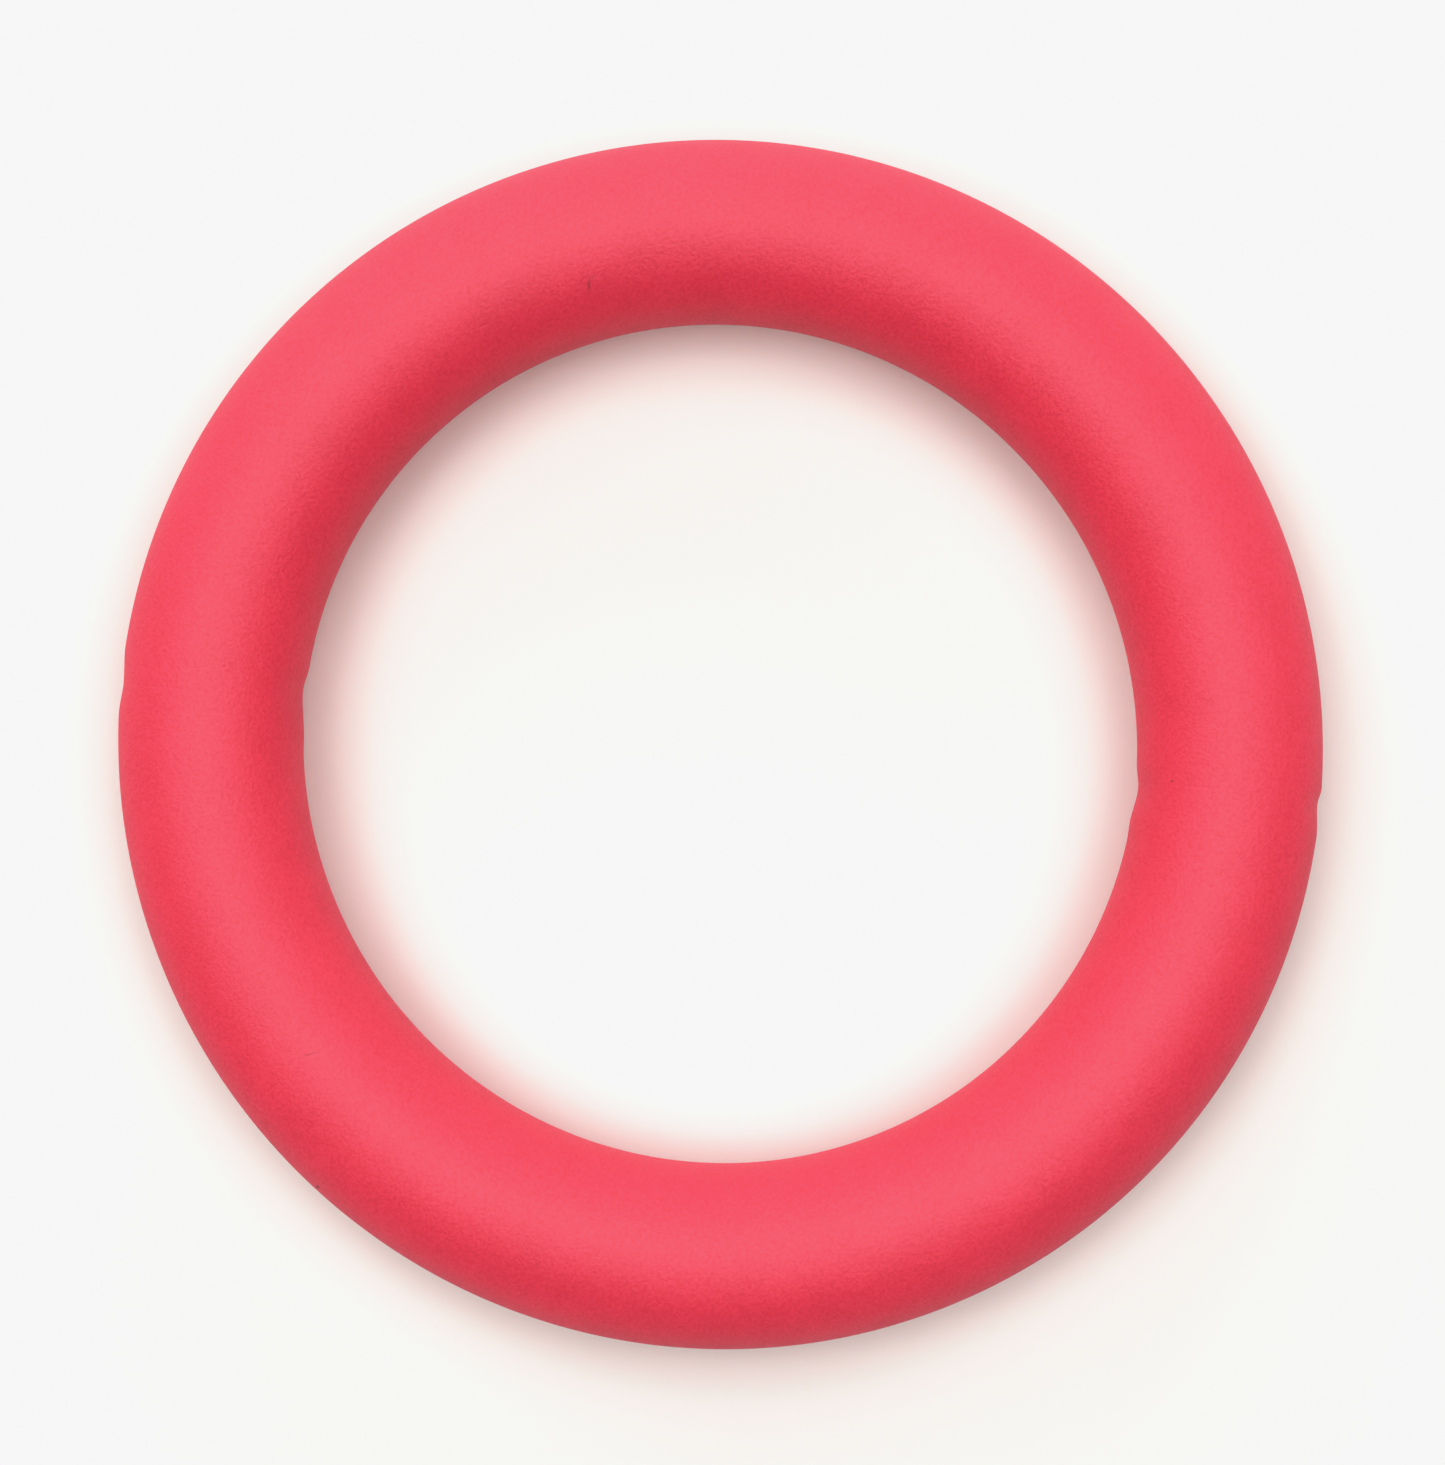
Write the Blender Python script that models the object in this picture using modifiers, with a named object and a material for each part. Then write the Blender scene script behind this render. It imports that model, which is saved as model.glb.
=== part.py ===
"""Juggling ring: two foam grip sleeves on a two-piece hoop of plastic tube.

The ring lies on the plane z = 0 with its axis along +Z through the origin. Its two joints are on the X axis:
there the tube ends meet on barbed plugs, each end locked by a spring pin, and the sleeves butt together.
Each half is the same piece, turned 180 degrees about the ring's axis. Metres throughout.
"""

from math import atan2, cos, hypot, pi, radians, sin

import bmesh
import bpy
from mathutils import Matrix

MM = 0.001

# Driving dimensions
OUTER_DIAMETER = 240.0 * MM
GRIP_DIAMETER = 36.6 * MM  # section of the foam grip
CORE_DIAMETER = 12.0 * MM  # outside of the plastic tube
CORE_WALL = 1.5 * MM
CLEARANCE = 0.3 * MM  # left between pieces that touch
NECK_DEPTH = 0.6 * MM  # how far the grip's inner and outer sides draw in at a joint
NECK_STEEP = 3.0 * MM  # length of the neck at a sleeve's first end
NECK_GRADUAL = 7.0 * MM  # length of the neck at its last end
NECK_RISE = 50.0  # degrees above and below the sides that the neck reaches: the top and bottom stay full
PLUG_DIAMETER = 8.4 * MM
PLUG_REACH = 13.0 * MM  # from the joint plane to a plug's tip
PLUG_COLLAR = 2.4 * MM  # length of the collar between the tube ends
BARB_PITCH = 2.0 * MM
BARB_DEPTH = 0.35 * MM
PIN_DIAMETER = 2.5 * MM
PIN_WALL = 0.5 * MM
PIN_SLOT_ANGLE = 50.0  # degrees of the pin's wall that its slot leaves out
PIN_OFFSET = 6.5 * MM  # from the joint plane to a pin's axis

# Worked out
GRIP_RADIUS = GRIP_DIAMETER / 2
CORE_RADIUS = CORE_DIAMETER / 2
RING_RADIUS = OUTER_DIAMETER / 2 - GRIP_RADIUS  # centre of the section
CENTRE_HEIGHT = GRIP_RADIUS
PIN_LENGTH = CORE_DIAMETER - 2 * CLEARANCE
PIN_HOLE_DIAMETER = PIN_DIAMETER + 2 * CLEARANCE

# Facets: the grip and the tube share stations along the ring, so their gap stays even.
STATIONS = 40  # steps along half the ring
GRIP_SIDES = 24
CORE_SIDES = 16
BORE_SIDES = 12
PIN_SIDES = 16

# Materials: colour, roughness, metallic
FOAM = ("coral_foam", (0.73, 0.06, 0.12), 0.6, 0.0)
TUBE = ("white_polyethylene", (0.82, 0.82, 0.80), 0.45, 0.0)
PLUG = ("black_nylon", (0.03, 0.03, 0.035), 0.5, 0.0)
STEEL = ("spring_steel", (0.55, 0.55, 0.56), 0.3, 1.0)


def clear_scene():
    for old in list(bpy.data.objects):
        bpy.data.objects.remove(old, do_unlink=True)
    for old in list(bpy.data.collections):
        bpy.data.collections.remove(old)


def new_collection(name):
    collection = bpy.data.collections.new(name)
    bpy.context.scene.collection.children.link(collection)
    return collection


def make_material(name, colour, roughness, metallic):
    material = bpy.data.materials.new(name)
    material.use_nodes = True
    shader = material.node_tree.nodes["Principled BSDF"]
    shader.inputs["Base Color"].default_value = (*colour, 1.0)
    shader.inputs["Roughness"].default_value = roughness
    shader.inputs["Metallic"].default_value = metallic
    return material


def along(length):
    """The angle that a length along the ring's centre line covers."""
    return length / RING_RADIUS


def half_ring_stations(end_gap, extra=()):
    """Angles along the upper half, from one joint to the other, each end held back by end_gap."""
    first = along(end_gap)
    steps = [pi * i / STATIONS for i in range(1, STATIONS)]
    marks = [first, pi - first]
    marks += extra
    spacing = pi / STATIONS / 4
    even = [a for a in steps if all(abs(a - mark) > spacing for mark in marks)]
    return sorted(even + marks)


def arc_body(name, angles, apothems, sides, collection):
    """A solid that follows the ring's centre line, its section a polygon with flats below and at the sides.

    apothems holds the distance from the centre line to a flat at each angle.
    """
    curve = bpy.data.curves.new(name, "CURVE")
    curve.dimensions = "3D"
    curve.twist_mode = "Z_UP"
    curve.bevel_depth = 1.0
    curve.bevel_resolution = sides // 2 - 2
    curve.use_fill_caps = True
    spline = curve.splines.new("POLY")
    spline.points.add(len(angles) - 1)
    for point, angle, apothem in zip(spline.points, angles, apothems):
        point.co = (RING_RADIUS * cos(angle), RING_RADIUS * sin(angle), 0.0, 1.0)
        point.radius = apothem / cos(pi / sides)
        point.tilt = pi / sides
    guide = bpy.data.objects.new(name + "_curve", curve)
    guide.location.z = CENTRE_HEIGHT
    collection.objects.link(guide)
    bpy.context.view_layer.update()

    evaluated = guide.evaluated_get(bpy.context.evaluated_depsgraph_get())
    mesh = bpy.data.meshes.new_from_object(evaluated)
    mesh.name = name
    welded = bmesh.new()
    welded.from_mesh(mesh)
    bmesh.ops.remove_doubles(welded, verts=welded.verts, dist=0.01 * MM)
    bmesh.ops.recalc_face_normals(welded, faces=welded.faces)
    welded.to_mesh(mesh)
    welded.free()

    body = bpy.data.objects.new(name, mesh)
    body.matrix_world = guide.matrix_world
    collection.objects.link(body)
    bpy.data.objects.remove(guide, do_unlink=True)
    return body


def smooth(body, sharp_degrees):
    body.data.shade_smooth()
    body.data.set_sharp_from_angle(angle=radians(sharp_degrees))


def dress(body, material):
    body.data.materials.clear()
    body.data.materials.append(material)


def as_cutter(body):
    body.hide_render = True
    body.display_type = "WIRE"
    return body


def cut(body, cutter):
    boolean = body.modifiers.new("cut_" + cutter.name, "BOOLEAN")
    boolean.operation = "DIFFERENCE"
    boolean.solver = "EXACT"
    boolean.object = cutter


def apply_cuts(body):
    """Keep the cut mesh itself, so that a turned copy needs no cutters of its own."""
    evaluated = body.evaluated_get(bpy.context.evaluated_depsgraph_get())
    whole = body.data
    body.data = bpy.data.meshes.new_from_object(evaluated)
    body.data.name = body.name
    body.modifiers.clear()
    bpy.data.meshes.remove(whole)


def turned_copy(body, name, collection):
    """The same piece on the other half of the ring: turned 180 degrees about the ring's axis."""
    copy = body.copy()
    copy.name = name
    copy.matrix_world = Matrix.Rotation(pi, 4, "Z") @ body.matrix_world
    collection.objects.link(copy)
    return copy


def eased(share):
    """0 below 0, 1 above 1, smooth between."""
    share = min(1.0, max(0.0, share))
    return share * share * (3.0 - 2.0 * share)


def draw_in_ends(sleeve):
    """Draw the inner and outer sides of an upper half in towards its centre line near both ends."""
    for vertex in sleeve.data.vertices:
        x, y, height = vertex.co
        angle = atan2(y, x)
        beside = hypot(x, y) - RING_RADIUS
        steep = eased(1.0 - angle / along(NECK_STEEP))
        gradual = eased(1.0 - (pi - angle) / along(NECK_GRADUAL))
        rise = atan2(abs(height), abs(beside))
        side = eased(1.0 - rise / radians(NECK_RISE))
        narrower = 1.0 - max(steep, gradual) * side * NECK_DEPTH / GRIP_RADIUS
        drawn = (RING_RADIUS + beside * narrower) / (RING_RADIUS + beside)
        vertex.co.x = x * drawn
        vertex.co.y = y * drawn


def pin_angles():
    return (along(PIN_OFFSET), pi - along(PIN_OFFSET))


def pin_place(angle):
    return Matrix.Translation((RING_RADIUS * cos(angle), RING_RADIUS * sin(angle), CENTRE_HEIGHT))


def pin_cutter(angle, name, collection):
    """A hole for a spring pin, through the tube and the plug, along the ring's axis."""
    bm = bmesh.new()
    radius = PIN_HOLE_DIAMETER / 2 / cos(pi / PIN_SIDES)
    length = 2 * CORE_DIAMETER
    bmesh.ops.create_cone(
        bm, cap_ends=True, segments=PIN_SIDES, radius1=radius, radius2=radius, depth=length
    )
    mesh = bpy.data.meshes.new(name)
    bm.to_mesh(mesh)
    bm.free()
    cutter = bpy.data.objects.new(name, mesh)
    cutter.matrix_world = pin_place(angle) @ Matrix.Rotation(angle, 4, "Z")
    collection.objects.link(cutter)
    return as_cutter(cutter)


def make_sleeve(parts, cutters, material):
    """Half of the foam grip. Its bore clears the tube, and its ends stop short of the joint planes."""
    end_gap = CLEARANCE / 2
    neck_marks = [along(NECK_STEEP * share) for share in (0.35, 0.65, 1.0)]
    neck_marks += [pi - along(NECK_GRADUAL * share) for share in (0.25, 0.5, 0.75, 1.0)]
    angles = half_ring_stations(end_gap, neck_marks)
    sleeve = arc_body("foam_sleeve_upper", angles, [GRIP_RADIUS] * len(angles), GRIP_SIDES, parts)
    draw_in_ends(sleeve)

    overrun = along(5 * MM)
    bore_angles = [-overrun, *half_ring_stations(end_gap), pi + overrun]
    bore_radius = CORE_RADIUS + CLEARANCE
    bore = arc_body("sleeve_bore", bore_angles, [bore_radius] * len(bore_angles), CORE_SIDES, cutters)
    cut(sleeve, as_cutter(bore))
    apply_cuts(sleeve)
    dress(sleeve, material)
    smooth(sleeve, 40)
    return sleeve


def make_core_tube(parts, cutters, holes, material):
    """Half of the hoop: a tube that stops a collar's half length and a gap from each joint plane."""
    end_gap = PLUG_COLLAR / 2 + CLEARANCE
    angles = half_ring_stations(end_gap)
    tube = arc_body("core_tube_upper", angles, [CORE_RADIUS] * len(angles), CORE_SIDES, parts)

    overrun = along(5 * MM)
    bore_angles = [-overrun, *angles, pi + overrun]
    bore_radius = CORE_RADIUS - CORE_WALL
    bore = arc_body("tube_bore", bore_angles, [bore_radius] * len(bore_angles), BORE_SIDES, cutters)
    cut(tube, as_cutter(bore))
    for hole in holes:
        cut(tube, hole)
    apply_cuts(tube)
    dress(tube, material)
    smooth(tube, 40)
    return tube


def plug_profile():
    """Angles and half thicknesses along a plug, from the joint plane outwards: collar, seat, barbs, tip."""
    collar_end = PLUG_COLLAR / 2
    plug_radius = PLUG_DIAMETER / 2
    edge = 0.1 * MM
    profile = [(collar_end, CORE_RADIUS), (collar_end + edge, plug_radius - BARB_DEPTH)]
    barb_start = PIN_OFFSET + PIN_HOLE_DIAMETER / 2 + 0.8 * MM
    barbs = int((PLUG_REACH - barb_start) / BARB_PITCH)
    profile.append((barb_start, plug_radius - BARB_DEPTH))
    for i in range(barbs):
        foot = barb_start + i * BARB_PITCH
        profile.append((foot + edge, plug_radius))
        profile.append((foot + BARB_PITCH - edge, plug_radius - BARB_DEPTH))
    profile.append((PLUG_REACH, plug_radius - 2 * BARB_DEPTH))
    return profile


def make_plug(name, parts, holes, material):
    """The plug at the right-hand joint, bent to the ring, with barbs towards both of its tips."""
    profile = plug_profile()
    both = [(-distance, radius) for distance, radius in reversed(profile)] + profile
    angles = [along(distance) for distance, radius in both]
    radii = [radius for distance, radius in both]
    plug = arc_body(name, angles, radii, BORE_SIDES, parts)
    for hole in holes:
        cut(plug, hole)
    apply_cuts(plug)
    dress(plug, material)
    smooth(plug, 30)
    return plug


def make_pin(name, angle, parts, material):
    """A slotted spring pin: a rolled strip with a gap along its length, standing along the ring's axis."""
    bm = bmesh.new()
    open_angle = radians(PIN_SLOT_ANGLE)
    sweep = 2 * pi - open_angle
    outer = PIN_DIAMETER / 2 / cos(pi / PIN_SIDES)
    rows = []
    for i in range(PIN_SIDES + 1):
        turn = open_angle / 2 + sweep * i / PIN_SIDES
        x = outer * cos(turn)
        y = outer * sin(turn)
        rows.append([bm.verts.new((x, y, z)) for z in (-PIN_LENGTH / 2, PIN_LENGTH / 2)])
    for (low, high), (next_low, next_high) in zip(rows, rows[1:]):
        bm.faces.new((low, next_low, next_high, high))
    mesh = bpy.data.meshes.new(name)
    bm.to_mesh(mesh)
    bm.free()
    pin = bpy.data.objects.new(name, mesh)
    pin.matrix_world = pin_place(angle) @ Matrix.Rotation(angle, 4, "Z")
    parts.objects.link(pin)
    wall = pin.modifiers.new("wall", "SOLIDIFY")
    wall.thickness = PIN_WALL
    wall.offset = -1.0
    dress(pin, material)
    smooth(pin, 40)
    return pin


def main():
    clear_scene()
    parts = new_collection("juggling_ring")
    cutters = new_collection("cutters")
    foam = make_material(*FOAM)
    polyethylene = make_material(*TUBE)
    nylon = make_material(*PLUG)
    steel = make_material(*STEEL)

    near, far = pin_angles()
    tube_holes = [pin_cutter(near, "hole_near", cutters), pin_cutter(far, "hole_far", cutters)]
    plug_holes = [tube_holes[0], pin_cutter(-near, "hole_across", cutters)]

    sleeve = make_sleeve(parts, cutters, foam)
    turned_copy(sleeve, "foam_sleeve_lower", parts)
    tube = make_core_tube(parts, cutters, tube_holes, polyethylene)
    turned_copy(tube, "core_tube_lower", parts)
    plug = make_plug("connector_plug_right", parts, plug_holes, nylon)
    turned_copy(plug, "connector_plug_left", parts)

    right_pin = make_pin("spring_pin_right_upper", near, parts, steel)
    left_pin = make_pin("spring_pin_left_upper", far, parts, steel)
    turned_copy(right_pin, "spring_pin_left_lower", parts)
    turned_copy(left_pin, "spring_pin_right_lower", parts)


main()
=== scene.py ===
"""Looks of the juggling ring: two matte coral foam sleeves that butt end to end over a pinned tube.

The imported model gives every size. The sleeves are rebuilt here as fine meshes with the real ring's slight
ovality, its drawn-in ends and its small marks; the tube, plugs and pins inside keep their CAD shapes.
Metres throughout, +Z up, ring lying on z = 0, the two joints on the X axis.
"""

from math import cos, pi, radians, sin

import bpy
import numpy as np
from mathutils import Matrix, Vector


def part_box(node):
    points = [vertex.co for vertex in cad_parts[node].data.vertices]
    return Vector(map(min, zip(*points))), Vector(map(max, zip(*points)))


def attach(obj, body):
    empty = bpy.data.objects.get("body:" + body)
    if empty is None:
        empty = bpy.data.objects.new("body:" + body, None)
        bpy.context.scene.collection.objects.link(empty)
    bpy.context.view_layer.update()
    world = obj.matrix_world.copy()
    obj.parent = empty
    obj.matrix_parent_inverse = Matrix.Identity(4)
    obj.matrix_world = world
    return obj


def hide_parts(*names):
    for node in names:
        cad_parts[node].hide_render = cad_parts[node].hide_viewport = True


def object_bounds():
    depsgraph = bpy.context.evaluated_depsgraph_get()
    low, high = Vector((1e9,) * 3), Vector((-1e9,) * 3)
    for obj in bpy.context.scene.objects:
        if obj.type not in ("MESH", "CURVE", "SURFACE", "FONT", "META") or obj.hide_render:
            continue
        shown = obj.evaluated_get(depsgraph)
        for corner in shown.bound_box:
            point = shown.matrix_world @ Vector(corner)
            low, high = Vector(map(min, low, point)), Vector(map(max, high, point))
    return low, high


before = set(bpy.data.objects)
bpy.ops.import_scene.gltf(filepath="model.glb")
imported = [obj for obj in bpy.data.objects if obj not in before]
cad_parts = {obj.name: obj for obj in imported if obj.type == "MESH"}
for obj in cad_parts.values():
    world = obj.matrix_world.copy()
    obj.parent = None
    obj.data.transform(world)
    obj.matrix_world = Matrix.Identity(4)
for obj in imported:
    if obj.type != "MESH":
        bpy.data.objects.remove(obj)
CAD_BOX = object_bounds()
MM = 0.001

# The ring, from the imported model
GRIP_RADIUS = (CAD_BOX[1][2] - CAD_BOX[0][2]) / 2
RING_RADIUS = CAD_BOX[1][1] - GRIP_RADIUS
CENTRE_HEIGHT = CAD_BOX[0][2] + GRIP_RADIUS
TUBE_LOW, TUBE_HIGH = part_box("core_tube_upper")
TUBE_RADIUS = (TUBE_HIGH[2] - TUBE_LOW[2]) / 2
BORE_CLEARANCE = 0.3 * MM
BORE_RADIUS = TUBE_RADIUS + BORE_CLEARANCE

# How the real ring departs from a perfect one
OVAL = 0.55 * MM  # the centre line's half difference between its long and short axes
OVAL_LONG_AXIS = radians(127.5)
SEAM_ROUNDING = 0.03 * MM
OUTSIDE, INSIDE = 1.0, -1.0
NECKS = (
    # joint's angle, side, trough's place along the ring from the joint, depth, length before, length after
    (0.0, OUTSIDE, -0.8 * MM, 0.56 * MM, 5.5 * MM, 2.8 * MM),
    (0.0, INSIDE, -1.3 * MM, 0.60 * MM, 7.0 * MM, 6.0 * MM),
    (pi, OUTSIDE, -0.3 * MM, 0.52 * MM, 6.5 * MM, 5.5 * MM),
    (pi, INSIDE, -3.0 * MM, 0.58 * MM, 6.0 * MM, 9.0 * MM),
    # where the inner side swells a little next to its neck
    (0.0, INSIDE, -9.5 * MM, -0.16 * MM, 5.0 * MM, 3.0 * MM),
    (pi, INSIDE, 8.0 * MM, -0.13 * MM, 4.0 * MM, 6.0 * MM),
)
NECK_RISE = radians(50.0)  # a neck fades out this far above and below the ring's sides
NECK_FULL_RISE = radians(12.0)

# Small marks on the foam: angle along the ring and around its section in degrees (90 is the top), length,
# width, the length's turn away from the section's own direction, and how much of the colour is lost
MARKS = {
    "scuff": (111.3, 121.0, 3.0 * MM, 0.8 * MM, 15.0, 0.36),
    "scuff_foot": (110.7, 117.0, 1.8 * MM, 0.6 * MM, 80.0, 0.20),
    "pinhole": (0.45, 133.5, 0.65 * MM, 0.6 * MM, 0.0, 0.75),
    "fine_scratch": (223.1, 94.0, 6.0 * MM, 0.45 * MM, 23.0, 0.28),
    "edge_nick": (233.5, 23.0, 2.4 * MM, 1.1 * MM, 0.0, 0.80),
}
MARK_COLOUR = (0.10, 0.012, 0.02)
MARK_REACH = 1.0 * MM  # a mark colours the skin this far in and out of the perfect ring's surface
MARK_CORE = 0.3  # the inner share of a mark that has its full strength

# The sleeves' meshes
STATIONS, SIDES = 481, 160  # points of the skin along half a ring and around its section
BORE_STEP = 8  # the bore has one station for every eight of the skin
END_EASE = 0.6  # how much closer together the stations stand near a sleeve's ends
SHARP_EDGE = radians(50)

# Camera: almost straight above, the joints a little off the horizontal of the picture
CAMERA_HEIGHT = 0.75
CAMERA_LEAN = radians(1.6)  # off the ring's axis
CAMERA_LEAN_TOWARDS = radians(-51.5)
CAMERA_ROLL = radians(5.5)
CAMERA_LENS = 93.8
CAMERA_NEAR = 0.01
SENSOR_WIDTH = 36.0
AIM = Vector((0.00064, 0.0020, 0.0))  # from the ring's centre to the picture's, rightwards and up

# Studio light: a wide ring of lamps overhead, strongest at the left and right, and low lamps along the top
# side. Each lamp: name, azimuth and elevation in degrees as the picture is seen, power in watts.
LIGHT_DISTANCE = 4.0
LIGHT_WIDTH = 2.25
LIGHTS = (
    ("canopy_right", 0.0, 66.0, 33.0),
    ("canopy_top_right", 45.0, 66.0, 22.0),
    ("canopy_top", 90.0, 66.0, 28.0),
    ("canopy_top_left", 135.0, 66.0, 19.0),
    ("canopy_left", 180.0, 66.0, 46.0),
    ("canopy_bottom_left", 225.0, 66.0, 16.0),
    ("canopy_bottom", 270.0, 66.0, 16.0),
    ("canopy_bottom_right", 315.0, 66.0, 20.0),
    ("wall_top_left", 135.0, 40.0, 20.0),
    ("low_top_right", 45.0, 15.0, 31.0),
    ("low_top", 90.0, 15.0, 37.0),
    ("low_top_left", 135.0, 15.0, 31.0),
)
FLOOR_WIDTH = 14.0

# Tone of the picture: above the shoulder, tones rise more slowly to the paper's white, just under full
PICTURE_CONTRAST = 1.4
SHOULDER = 0.88
PAPER_WHITE = 0.947


def smooth_step(x):
    """From 0 to 1 as x goes from 0 to 1, level at both ends."""
    x = np.clip(x, 0.0, 1.0)
    return x * x * (3.0 - 2.0 * x)


def spread(start, end, count, ease):
    """Angles from start to end, closer together near both ends."""
    even = np.linspace(0.0, 1.0, count)
    return start + (end - start) * ((1.0 - ease) * even + ease * smooth_step(even))


def direction(azimuth, elevation):
    """A vector of length one."""
    return Vector((cos(elevation) * cos(azimuth), cos(elevation) * sin(azimuth), sin(elevation)))


def section_point(along, around, ring_radius, radius):
    """A point of a ring's surface: along is the angle round the ring, around is 0 outwards and pi / 2 up."""
    out = ring_radius + radius * np.cos(around)
    height = CENTRE_HEIGHT + radius * np.sin(around)
    return np.stack(np.broadcast_arrays(out * np.cos(along), out * np.sin(along), height), axis=-1)


def centre_line(along):
    """The radius of the slightly oval ring that runs through the middle of the section."""
    return RING_RADIUS + OVAL * np.cos(2.0 * (along - OVAL_LONG_AXIS))


def neck_depth(along, around):
    """How far the grip's inner and outer sides draw in near the joints; its top and bottom stay full."""
    side = np.cos(around)
    rise = np.arccos(np.clip(np.abs(side), 0.0, 1.0))
    reach = smooth_step((NECK_RISE - rise) / (NECK_RISE - NECK_FULL_RISE))
    depth = np.zeros(np.broadcast(along, around).shape)
    for joint, which, place, deep, before, after in NECKS:
        distance = (np.mod(along - joint + pi, 2.0 * pi) - pi) * RING_RADIUS - place
        length = np.where(distance < 0.0, before, after)
        depth += deep * smooth_step(1.0 - np.abs(distance) / length) * reach * (side * which > 0.0)
    return depth


def wall_faces(start, rows, inwards):
    """Quads over rows of SIDES points each, from the point with the index start on."""
    row, side = np.meshgrid(np.arange(rows - 1), np.arange(SIDES), indexing="ij")
    here, ahead, beside = row * SIDES, (row + 1) * SIDES, (side + 1) % SIDES
    corners = [here + side, here + beside, ahead + beside, ahead + side]
    quads = start + np.stack(corners, axis=-1).reshape(-1, 4)
    return quads if inwards else quads[:, ::-1]


def end_faces(skin_row, bore_row):
    """Quads of a sleeve's end face, between a row of the skin and one of the bore."""
    side = np.arange(SIDES)
    beside = (side + 1) % SIDES
    return np.stack([skin_row + side, skin_row + beside, bore_row + beside, bore_row + side], axis=-1)


def make_sleeve(name, first, last):
    """Half of the grip as one closed mesh: outer skin, two end faces and the bore."""
    along = spread(first, last, STATIONS, END_EASE)[:, None]
    around = np.linspace(0.0, 2.0 * pi, SIDES, endpoint=False)[None, :]
    to_end = np.minimum(along - first, last - along) * RING_RADIUS
    rounding = SEAM_ROUNDING * np.clip(1.0 - to_end / SEAM_ROUNDING, 0.0, 1.0) ** 2
    radius = GRIP_RADIUS - neck_depth(along, around) - rounding
    skin = section_point(along, around, centre_line(along), radius)
    bore_along = along[::BORE_STEP]
    bore = section_point(bore_along, around, centre_line(bore_along), BORE_RADIUS)
    points = np.concatenate([skin.reshape(-1, 3), bore.reshape(-1, 3)])

    bore_start = STATIONS * SIDES
    last_row = (STATIONS - 1) * SIDES
    last_bore_row = bore_start + (len(bore_along) - 1) * SIDES
    faces = [
        wall_faces(0, STATIONS, inwards=False),
        wall_faces(bore_start, len(bore_along), inwards=True),
        end_faces(0, bore_start),
        end_faces(last_row, last_bore_row)[:, ::-1],
    ]

    mesh = bpy.data.meshes.new(name)
    mesh.from_pydata(points.tolist(), [], np.concatenate(faces).tolist())
    mesh.shade_smooth()
    mesh.set_sharp_from_angle(angle=SHARP_EDGE)
    sleeve = bpy.data.objects.new(name, mesh)
    bpy.context.scene.collection.objects.link(sleeve)
    return sleeve


def mark_frame(along, around, turn):
    """The middle of a mark and its axes as columns: across it, along it, and out of the surface."""
    along, around, turn = radians(along), radians(around), radians(turn)
    middle = section_point(along, around, float(centre_line(along)), GRIP_RADIUS)
    tangent = Vector((-sin(along), cos(along), 0.0))
    outward = direction(along, around)
    upward = outward.cross(tangent)
    lengthways = upward * cos(turn) + tangent * sin(turn)
    return middle, Matrix((lengthways.cross(outward), lengthways, outward)).transposed()


# A Mix node's colour sockets share their names with its other sockets, so they go by index
MIX_FACTOR, MIX_FIRST, MIX_SECOND, MIX_RESULT = 0, 6, 7, 2


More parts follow.
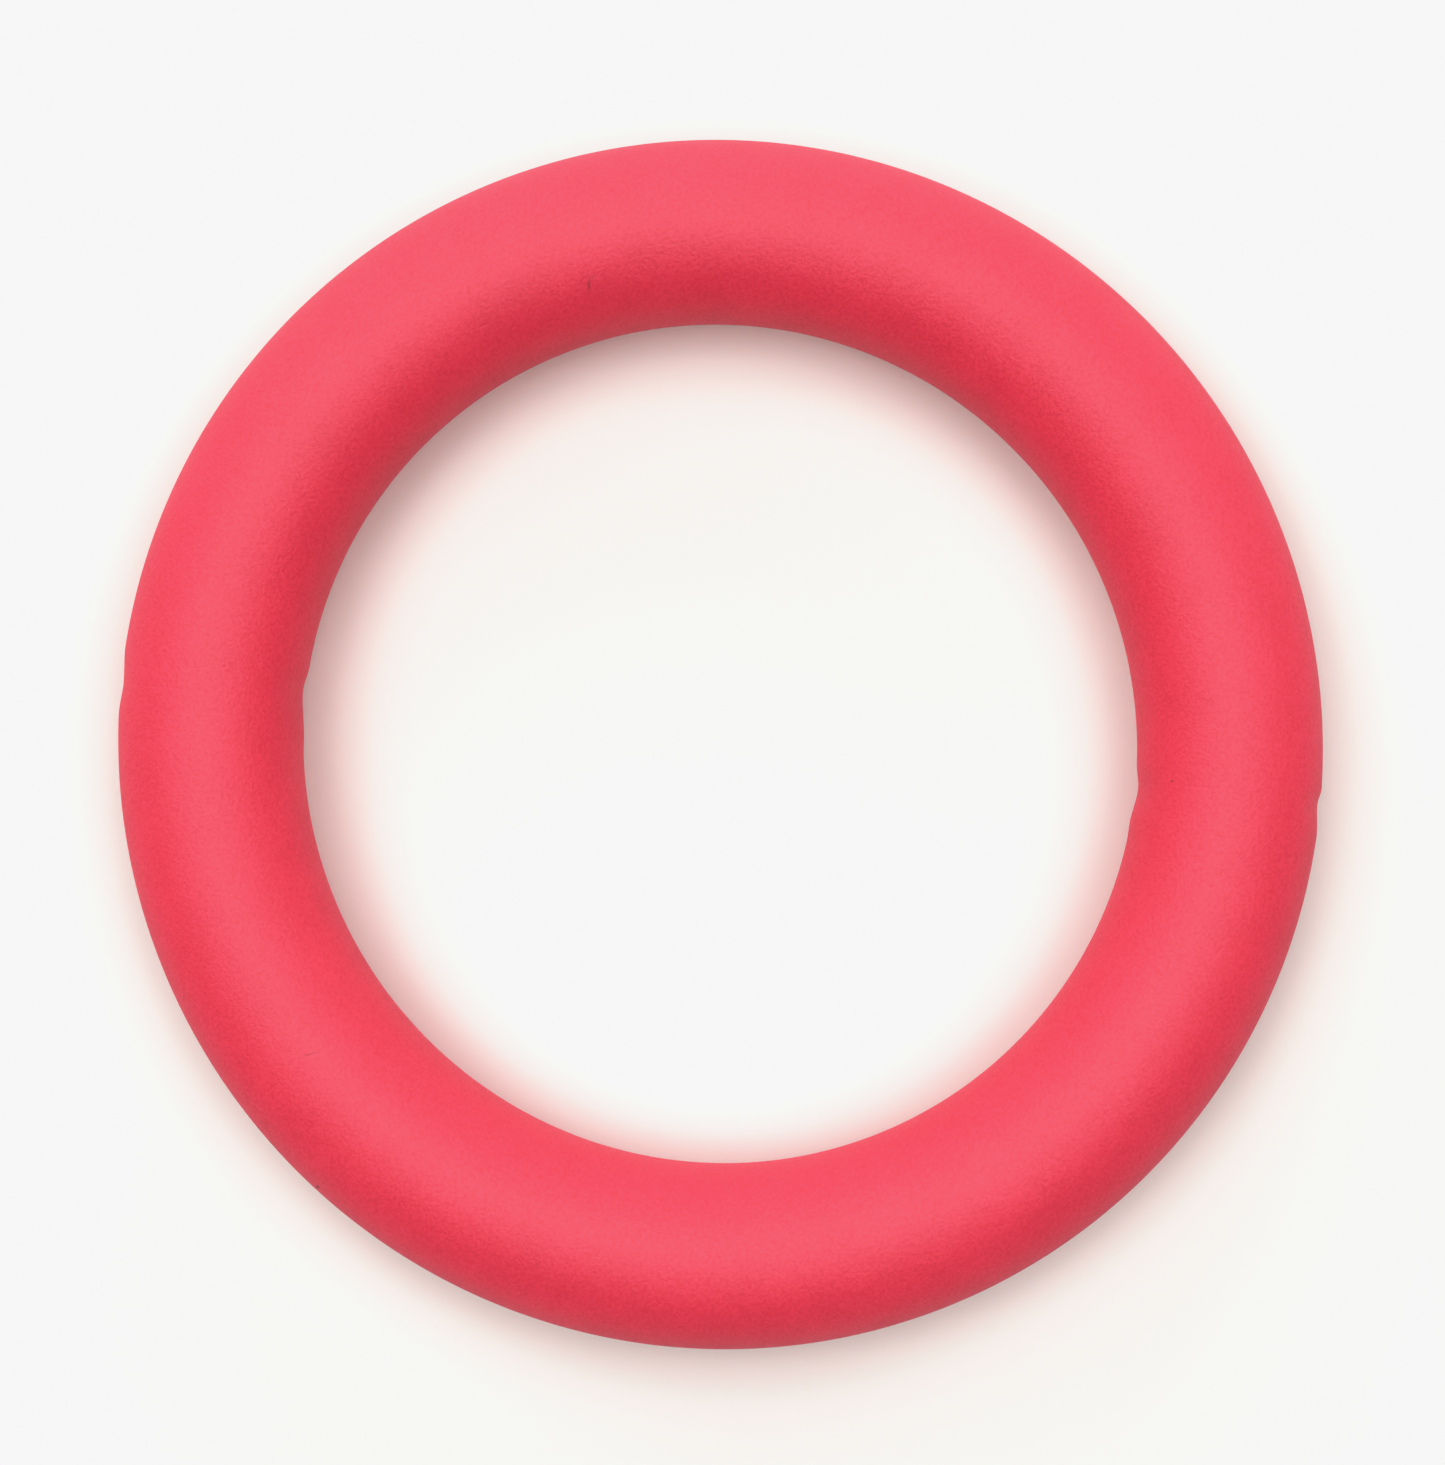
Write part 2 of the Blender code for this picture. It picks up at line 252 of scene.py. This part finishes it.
class Nodes:
    """A material's node tree, with short calls to add and join its nodes.

    Noise scales count features in a metre: 1500 is a grain of about 0.7 mm.
    """

    def __init__(self, name):
        self.material = bpy.data.materials.new(name)
        self.material.use_nodes = True
        self.tree = self.material.node_tree
        self.shader = self.tree.nodes["Principled BSDF"]
        self.place = self.add("ShaderNodeTexCoord").outputs["Object"]

    def add(self, kind, **settings):
        """A node with its settings, which are its own properties or the values of its sockets."""
        node = self.tree.nodes.new(kind)
        for key, value in settings.items():
            if hasattr(node, key):
                setattr(node, key, value)
            else:
                node.inputs[key.replace("_", " ")].default_value = value
        return node

    def join(self, output, node, socket):
        self.tree.links.new(output, node.inputs[socket])

    def shade(self, **values):
        """Values of the shader's own sockets, the same all over the surface."""
        for key, value in values.items():
            self.shader.inputs[key.replace("_", " ")].default_value = value

    def noise(self, scale, detail=2.0, roughness=0.5):
        node = self.add("ShaderNodeTexNoise", Scale=scale, Detail=detail, Roughness=roughness)
        self.join(self.place, node, "Vector")
        return node.outputs["Fac"]

    def ramp(self, factor, low, high):
        """A colour between two stops, each a position and a colour."""
        node = self.add("ShaderNodeValToRGB")
        for element, (position, colour) in zip(node.color_ramp.elements, (low, high)):
            element.position = position
            element.color = (*colour, 1.0)
        self.join(factor, node, "Fac")
        return node.outputs["Color"]

    def mark(self, name):
        """A mark's strength inside it, falling to nought at its rim."""
        along, around, length, width, turn, strength = MARKS[name]
        middle, axes = mark_frame(along, around, turn)
        size = (width / 2, length / 2, MARK_REACH)
        place = self.add("ShaderNodeMapping", vector_type="TEXTURE", Location=middle, Scale=size)
        place.inputs["Rotation"].default_value = axes.to_euler()
        self.join(self.place, place, "Vector")
        distance = self.add("ShaderNodeVectorMath", operation="LENGTH")
        self.join(place.outputs["Vector"], distance, "Vector")
        fade = self.add("ShaderNodeMapRange", From_Min=MARK_CORE, From_Max=1.0, To_Min=strength, To_Max=0.0)
        self.join(distance.outputs["Value"], fade, "Value")
        return fade.outputs["Result"]

    def multiply(self, colour, other):
        node = self.add("ShaderNodeMix", data_type="RGBA", blend_type="MULTIPLY")
        node.inputs[MIX_FACTOR].default_value = 1.0
        self.join(colour, node, MIX_FIRST)
        self.join(other, node, MIX_SECOND)
        return node.outputs[MIX_RESULT]

    def blend(self, factor, colour, other):
        """A colour, turned towards another one by a factor."""
        node = self.add("ShaderNodeMix", data_type="RGBA")
        self.join(factor, node, MIX_FACTOR)
        self.join(colour, node, MIX_FIRST)
        node.inputs[MIX_SECOND].default_value = (*other, 1.0)
        return node.outputs[MIX_RESULT]

    def bump(self, height, strength, distance, normal=None):
        node = self.add("ShaderNodeBump", Strength=strength, Distance=distance)
        self.join(height, node, "Height")
        if normal is not None:
            self.join(normal, node, "Normal")
        return node.outputs["Normal"]


def foam_material():
    """Closed-cell foam: a cloudy coral with fine pores, a matte sheen and the marks of use."""
    m = Nodes("coral_foam")
    grain = m.noise(1500.0, detail=4.0, roughness=0.65)
    cloud = m.noise(90.0, detail=3.0)
    colour = m.ramp(cloud, (0.3, (0.78, 0.058, 0.122)), (0.7, (0.82, 0.064, 0.131)))
    pores = m.ramp(grain, (0.36, (0.92, 0.62, 0.70)), (0.60, (1.0, 1.0, 1.0)))
    colour = m.multiply(colour, pores)
    for name in MARKS:
        colour = m.blend(m.mark(name), colour, MARK_COLOUR)
    m.join(colour, m.shader, "Base Color")
    m.shade(Roughness=0.6, Diffuse_Roughness=0.4, IOR=1.6, Specular_IOR_Level=1.0)
    swell = m.bump(m.noise(300.0), 0.15, 0.3 * MM)
    m.join(m.bump(grain, 1.0, 0.2 * MM, swell), m.shader, "Normal")
    return m.material


def tube_material():
    """Off-white pipe with faint streaks."""
    m = Nodes("extruded_polyethylene")
    colour = m.ramp(m.noise(180.0, detail=3.0), (0.35, (0.78, 0.78, 0.75)), (0.65, (0.84, 0.84, 0.82)))
    m.join(colour, m.shader, "Base Color")
    m.shade(Roughness=0.42)
    m.join(m.bump(m.noise(900.0), 0.15, 0.1 * MM), m.shader, "Normal")
    return m.material


def plug_material():
    """Moulded black plastic, slightly mottled."""
    m = Nodes("black_nylon")
    colour = m.ramp(m.noise(300.0, detail=3.0), (0.3, (0.022, 0.022, 0.025)), (0.7, (0.045, 0.045, 0.05)))
    m.join(colour, m.shader, "Base Color")
    m.shade(Roughness=0.5)
    m.join(m.bump(m.noise(2500.0), 0.2, 0.1 * MM), m.shader, "Normal")
    return m.material


def pin_material():
    """Plain spring steel, dull from handling."""
    m = Nodes("spring_steel")
    colour = m.ramp(m.noise(1500.0, detail=3.0), (0.3, (0.48, 0.48, 0.49)), (0.7, (0.62, 0.62, 0.63)))
    m.join(colour, m.shader, "Base Color")
    m.shade(Metallic=1.0, Roughness=0.3)
    m.join(m.bump(m.noise(4000.0), 0.1, 0.05 * MM), m.shader, "Normal")
    return m.material


def floor_material():
    """Warm white paper, with a trace of its own light: a painted glow, though the floor is no lamp, that
    lifts the shadows.
    """
    m = Nodes("pale_floor")
    colour = m.ramp(m.noise(3.0), (0.3, (0.811, 0.795, 0.758)), (0.7, (0.821, 0.803, 0.768)))
    m.join(colour, m.shader, "Base Color")
    # painted light: the floor's faint emission glows to lift the shadows on it
    m.shade(Roughness=0.9, Emission_Color=(1.0, 0.97, 0.94, 1.0), Emission_Strength=0.05)
    return m.material


def dress(piece, material):
    piece.data.materials.clear()
    piece.data.materials.append(material)


def add_grip():
    """The two foam sleeves, in place of the CAD ones."""
    foam = foam_material()
    for name, first, last in (("sleeve_upper", 0.0, pi), ("sleeve_lower", pi, 2.0 * pi)):
        sleeve = make_sleeve(name, first, last)
        dress(sleeve, foam)
        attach(sleeve, "root")
        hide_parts("foam_" + name)


def finish_core():
    """Materials for the tube, plugs and pins, by the start of their names."""
    finishes = {"core_tube": tube_material(), "connector_plug": plug_material(), "spring_pin": pin_material()}
    for node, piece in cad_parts.items():
        for start, material in finishes.items():
            if node.startswith(start):
                dress(piece, material)


def make_floor():
    bpy.ops.mesh.primitive_plane_add(size=FLOOR_WIDTH)
    floor = bpy.context.object
    floor.name = "floor"
    dress(floor, floor_material())


def add_camera():
    """The camera looks along minus back, with the picture's right and up as its other axes."""
    back = direction(CAMERA_LEAN_TOWARDS, pi / 2 - CAMERA_LEAN)
    right = direction(CAMERA_ROLL, 0.0)
    right = (right - back * right.dot(back)).normalized()
    up = back.cross(right)
    aim = Vector((0.0, 0.0, CENTRE_HEIGHT)) + right * AIM.x + up * AIM.y
    data = bpy.data.cameras.new("camera")
    data.lens = CAMERA_LENS
    data.sensor_width = SENSOR_WIDTH
    data.sensor_fit = "HORIZONTAL"
    data.clip_start = CAMERA_NEAR
    camera = bpy.data.objects.new("camera", data)
    turn = Matrix((right, up, back)).transposed().to_4x4()
    camera.matrix_world = Matrix.Translation(aim + back * CAMERA_HEIGHT) @ turn
    bpy.context.scene.collection.objects.link(camera)
    bpy.context.scene.camera = camera


def add_lights():
    """The lamps, each a disk that faces the ring, in an otherwise dark room."""
    for name, azimuth, elevation, power in LIGHTS:
        towards = direction(radians(azimuth) + CAMERA_ROLL, radians(elevation))
        data = bpy.data.lights.new(name, "AREA")
        data.shape = "DISK"
        data.size = LIGHT_WIDTH
        data.energy = power
        light = bpy.data.objects.new(name, data)
        light.location = towards * LIGHT_DISTANCE
        light.rotation_euler = towards.to_track_quat("Z", "Y").to_euler()
        bpy.context.scene.collection.objects.link(light)
    world = bpy.data.worlds.new("studio")
    world.use_nodes = True
    world.node_tree.nodes["Background"].inputs["Strength"].default_value = 0.0
    bpy.context.scene.world = world


def set_picture_tone():
    """More contrast than plain, with white held just under full, as an overexposed white floor prints."""
    view = bpy.context.scene.view_settings
    view.view_transform = "Standard"
    view.gamma = 1.0 / PICTURE_CONTRAST
    view.use_curve_mapping = True
    view.curve_mapping.extend = "HORIZONTAL"
    all_channels = view.curve_mapping.curves[3]
    all_channels.points.new(SHOULDER, SHOULDER)
    all_channels.points[-1].location = (1.0, PAPER_WHITE)
    for point in all_channels.points:
        point.handle_type = "VECTOR"
    view.curve_mapping.update()


def main():
    set_picture_tone()
    add_grip()
    finish_core()
    make_floor()
    add_camera()
    add_lights()


main()
